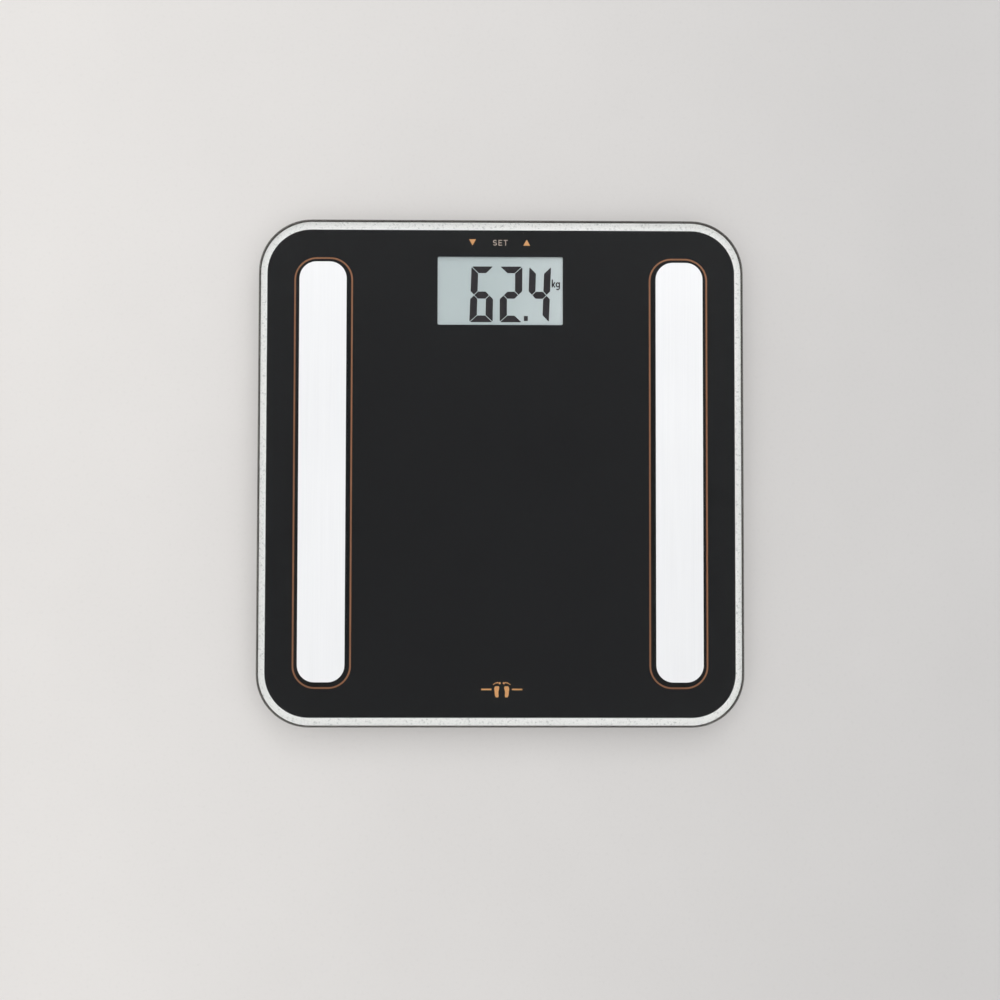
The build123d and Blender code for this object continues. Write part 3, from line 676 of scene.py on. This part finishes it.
def footprint_mark():
    """A plain pair of bare footprints between two dashes, printed at the user's edge."""
    centre_x, centre_y = 0.8 * MM, -139.5 * MM
    dash_from, dash_to, dash_t = 6.6 * MM, 13.2 * MM, 0.95 * MM
    tall = 10.8 * MM
    sole, steps = 0.72 * tall, 22
    # The rest are parts of the foot's height; the toes go from the big one outwards
    apart, bend = 0.55, 0.035
    toe_radii = (0.064, 0.042, 0.038, 0.034, 0.030)
    toe_rise = (0.372, 0.400, 0.385, 0.350, 0.300)
    big_toe_x, toe_gap = -0.150, 0.010

    def foot(bm, side):
        foot_x = centre_x + side * apart * tall / 2
        right, left = [], []
        for i in range(1, steps):
            t = i / steps
            y = centre_y - tall / 2 + sole * t
            x = foot_x + side * bend * tall * math.sin(math.pi * t)
            half = sole * sole_half_width(t)
            right.append((x + half, y))
            left.append((x - half, y))
        plate_mesh(bm, right + left[::-1], PRINT_Z, PRINT_T)
        toe_x = big_toe_x
        for k, (radius, rise) in enumerate(zip(toe_radii, toe_rise)):
            toe = circle(foot_x + side * toe_x * tall, centre_y + rise * tall, radius * tall)
            plate_mesh(bm, toe, PRINT_Z, PRINT_T)
            if k + 1 < len(toe_radii):
                toe_x += radius + toe_radii[k + 1] + toe_gap

    def build(bm):
        for side in (-1, 1):
            foot(bm, side)
            dash = [(centre_x + side * dash_from, centre_y), (centre_x + side * dash_to, centre_y)]
            ribbon(bm, dash, dash_t, PRINT_Z, PRINT_T)

    piece("footprint_mark", "platform", "copper_mark", build)


# ---------------------------------------------------------------- the underside


def label_print():
    """The label's border, blank ruled fields and an empty square."""
    depth, line, rule_line = 0.02 * MM, 0.35 * MM, 0.3 * MM
    margin, corner = 2.2 * MM, 1.2 * MM
    square, square_corner = 13.0 * MM, 0.8 * MM
    first_rule, rule_inset, rule_step, rules = 4.2 * MM, 2.5 * MM, 5.2 * MM, 7
    field_share = 0.68
    z = LABEL_LOW.z - depth
    x0, x1 = LABEL_LOW.x + margin, LABEL_HIGH.x - margin
    y0, y1 = LABEL_LOW.y + margin, LABEL_HIGH.y - margin
    cx, cy = (x0 + x1) / 2, (y0 + y1) / 2
    divider = x0 + field_share * (x1 - x0)

    def build(bm):
        frame_mesh(bm, cx, cy, x1 - x0, y1 - y0, corner, line, z, depth, 6)
        ribbon(bm, [(divider, y0 + line), (divider, y1 - line)], line, z, depth)
        for k in range(rules):
            # Every third rule stops short
            y = y1 - first_rule - k * rule_step
            end = divider - rule_inset * (1 if k % 3 < 2 else 5)
            ribbon(bm, [(x0 + rule_inset, y), (end, y)], rule_line, z, depth)
        frame_mesh(bm, (divider + x1) / 2, cy, square, square, square_corner, line, z, depth, 4)

    piece("label_rules", "platform", "label_ink", build)


def door_arrow():
    """A raised arrow on the door that points at its latch."""
    height = 0.25 * MM
    tail, base, tip = 33.0 * MM, 39.5 * MM, 45.0 * MM
    shaft, head, point = 1.3 * MM, 4.2 * MM, 0.3 * MM
    cx = (DOOR_LOW.x + DOOR_HIGH.x) / 2
    z = DOOR_LOW.z - height

    def taper(bm, near, near_half, far, far_half):
        """A flat stretch of the arrow from one place along it to another, each with its half width."""
        outline = [(cx - near_half, near), (cx + near_half, near), (cx + far_half, far), (cx - far_half, far)]
        plate_mesh(bm, outline, z, height)

    def build(bm):
        taper(bm, base, head, tip, point)
        taper(bm, tail, shaft, base, shaft)

    piece("door_arrow", "door", "door_plastic", build)


# ---------------------------------------------------------------- the display

DIGIT_H = 36.8 * MM
DIGIT_Y = 97.6 * MM
DIGIT_MIDDLE = 0.486
STROKE_UP, STROKE_MIDDLE = 4.75 * MM, 5.0 * MM
CORNER_CUT = 1.1 * MM
SEGMENT_GAP = 0.42 * MM
SEGMENT_T = 0.05 * MM

# Each numeral's left edge and width at its foot, how far its left and right edges lean by its top, and its
# upright segments' stroke
DIGITS = (
    ("6", -20.9 * MM, 15.6 * MM, 1.4 * MM, 0.4 * MM, 5.15 * MM),
    ("2", -1.2 * MM, 14.95 * MM, 0.1 * MM, 0.2 * MM, 5.1 * MM),
    ("4", 17.1 * MM, 14.1 * MM, 1.0 * MM, 1.4 * MM, 4.7 * MM),
)
LIT = {"2": "abged", "4": "fgbc", "6": "afgedc"}


def digit_segments(width, stroke):
    """The seven segments' outlines in an upright frame, touching along their mitres."""
    w, h, c = width, DIGIT_H, CORNER_CUT
    m = h * DIGIT_MIDDLE
    t, u, half = stroke, STROKE_UP, STROKE_MIDDLE / 2

    def flip_x(points):
        return [(w - x, y) for x, y in reversed(points)]

    def bar(edge, way):
        """The top or bottom segment; way is the side that the digit's inside lies on."""
        inner, cut = edge + way * u, edge + way * c / 2
        points = [(c, edge), (c / 2, cut), (t, inner), (w - t, inner), (w - c / 2, cut), (w - c, edge)]
        return points if way < 0 else points[::-1]

    def post(edge, way):
        """The left segment between the middle and a far edge."""
        near, inner, cut = m - way * half, edge + way * u, edge + way * c / 2
        points = [(0, edge + way * c), (0, near), (t / 2, m), (t, near), (t, inner), (c / 2, cut)]
        return points if way < 0 else points[::-1]

    middle = [(t / 2, m), (t, m - half), (w - t, m - half), (w - t / 2, m), (w - t, m + half), (t, m + half)]
    upper, lower = post(h, -1), post(0, 1)
    return {
        "a": bar(h, -1),
        "b": flip_x(upper),
        "c": flip_x(lower),
        "d": bar(0, 1),
        "e": lower,
        "f": upper,
        "g": middle,
    }


def inset(points, distance):
    """A convex anticlockwise outline moved inwards by a distance."""
    count = len(points)
    lines = []
    for i in range(count):
        (x0, y0), (x1, y1) = points[i], points[(i + 1) % count]
        length = math.hypot(x1 - x0, y1 - y0)
        nx, ny = -(y1 - y0) / length, (x1 - x0) / length
        lines.append((x0 + nx * distance, y0 + ny * distance, (x1 - x0) / length, (y1 - y0) / length))
    moved = []
    for i in range(count):
        ax, ay, adx, ady = lines[i - 1]
        bx, by, bdx, bdy = lines[i]
        cross = adx * bdy - ady * bdx
        s = ((bx - ax) * bdy - (by - ay) * bdx) / cross
        moved.append((ax + adx * s, ay + ady * s))
    return moved


def display_digits(z):
    """The lit segments of each digit."""
    for numeral, left, width, lean_left, lean_right, stroke in DIGITS:
        shapes = digit_segments(width, stroke)

        def place(x, y):
            """From the digit's upright frame to the display, with its two leans."""
            lean = (lean_left + (lean_right - lean_left) * x / width) * y / DIGIT_H
            return left + x + lean, DIGIT_Y + y

        def build(bm):
            for key in LIT[numeral]:
                outline = [place(x, y) for x, y in inset(shapes[key], SEGMENT_GAP / 2)]
                plate_mesh(bm, outline, z, SEGMENT_T)

        piece(f"display_digit_{numeral}", "platform", "lcd_ink", build)


def display_point(z):
    """The decimal point before the last digit."""
    centre_x, centre_y = 16.02 * MM, 100.3 * MM
    width, height, corner = 2.6 * MM, 3.3 * MM, 0.1 * MM

    def build(bm):
        plate_mesh(bm, rounded_rect(centre_x, centre_y, width, height, corner, 3), z, SEGMENT_T)

    piece("display_point", "platform", "lcd_ink", build)


def display_unit(z):
    """The unit beside the number: a straight-armed k and a single-storey g."""
    baseline, k_top, x_height, stroke = 120.65 * MM, 125.8 * MM, 3.4 * MM, 0.82 * MM
    stem_x, k_right = 33.2 * MM, 34.9 * MM
    g_x, g_right, g_drop = 36.75 * MM, 37.8 * MM, 1.4 * MM
    knee = baseline + 0.42 * x_height
    bowl_x, bowl_y = g_right - g_x, (x_height - stroke) / 2
    strokes = (
        [(stem_x, baseline), (stem_x, k_top)],
        [(stem_x + 0.3 * stroke, knee - 0.2 * stroke), (k_right, baseline + x_height)],
        [(stem_x + 0.9 * stroke, knee + 0.2 * stroke), (k_right, baseline)],
        oval(g_x, baseline + x_height / 2, bowl_x, bowl_y, 30, 330),
        [(g_right, baseline + x_height)] + oval(g_x, baseline, bowl_x, g_drop, 0, -140),
    )

    def build(bm):
        for points in strokes:
            ribbon(bm, points, stroke, z, SEGMENT_T)

    piece("display_unit", "platform", "lcd_ink", build)


def display():
    """All that the display shows, just above its face."""
    z = LCD_HIGH.z + 0.01 * MM
    display_digits(z)
    display_point(z)
    display_unit(z)


# ---------------------------------------------------------------- room


def add_floor():
    """A large flat floor just below the feet."""
    mesh = bpy.data.meshes.new("floor")
    corners = [(-1, -1), (1, -1), (1, 1), (-1, 1)]
    mesh.from_pydata([(x * FLOOR_HALF, y * FLOOR_HALF, 0) for x, y in corners], [], [(0, 1, 2, 3)])
    mesh.materials.append(floor_material())
    floor = bpy.data.objects.new("floor", mesh)
    floor.location.z = -FLOOR_DROP
    bpy.context.scene.collection.objects.link(floor)


def add_world():
    """A soft dome: a bright ring high up, dark inside it straight overhead and dimmer below it."""
    world = bpy.data.worlds.new("studio_dome")
    world.use_nodes = True
    tree = world.node_tree
    tree.nodes.clear()
    coords = tree.nodes.new("ShaderNodeTexCoord")
    split = tree.nodes.new("ShaderNodeSeparateXYZ")
    ramp = tree.nodes.new("ShaderNodeValToRGB")
    background = tree.nodes.new("ShaderNodeBackground")
    output = tree.nodes.new("ShaderNodeOutputWorld")
    tree.links.new(coords.outputs["Generated"], split.inputs[0])
    tree.links.new(split.outputs["Z"], ramp.inputs["Fac"])
    tree.links.new(ramp.outputs["Color"], background.inputs["Color"])
    tree.links.new(background.outputs[0], output.inputs[0])
    ramp.color_ramp.interpolation = "EASE"
    for position, bright in DOME[1:-1]:
        ramp.color_ramp.elements.new(position)
    for element, (position, bright) in zip(ramp.color_ramp.elements, DOME):
        element.position = position
        element.color = (bright, bright, bright, 1.0)
    background.inputs["Strength"].default_value = 1.0
    bpy.context.scene.world = world


def add_key_light():
    """One large soft light beyond the display's edge, aimed at the middle of the scale."""
    data = bpy.data.lights.new("key_far", "AREA")
    data.shape = "RECTANGLE"
    data.size, data.size_y = KEY_SIZE
    data.energy = KEY_WATTS
    light = bpy.data.objects.new("key_far", data)
    light.location = KEY_PLACE
    light.rotation_euler = (-Vector(KEY_PLACE)).to_track_quat("-Z", "Y").to_euler()
    bpy.context.scene.collection.objects.link(light)


def add_camera():
    """Straight above, leaning very slightly."""
    data = bpy.data.cameras.new("camera")
    data.sensor_width = CAMERA_SENSOR
    data.lens = CAMERA_LENS
    data.clip_start = 0.01
    camera = bpy.data.objects.new("camera", data)
    camera.location = CAMERA_PLACE
    camera.rotation_euler = [math.radians(tilt) for tilt in CAMERA_TILTS]
    bpy.context.scene.collection.objects.link(camera)
    bpy.context.scene.camera = camera


def main():
    bpy.context.scene.view_settings.view_transform = "Standard"
    add_camera()
    add_floor()
    add_world()
    add_key_light()
    dress_cad_nodes()
    border_ring()
    electrode_outlines()
    arrow_marks()
    set_legend()
    footprint_mark()
    display()
    label_print()
    door_arrow()


main()
bpy.context.view_layer.update()
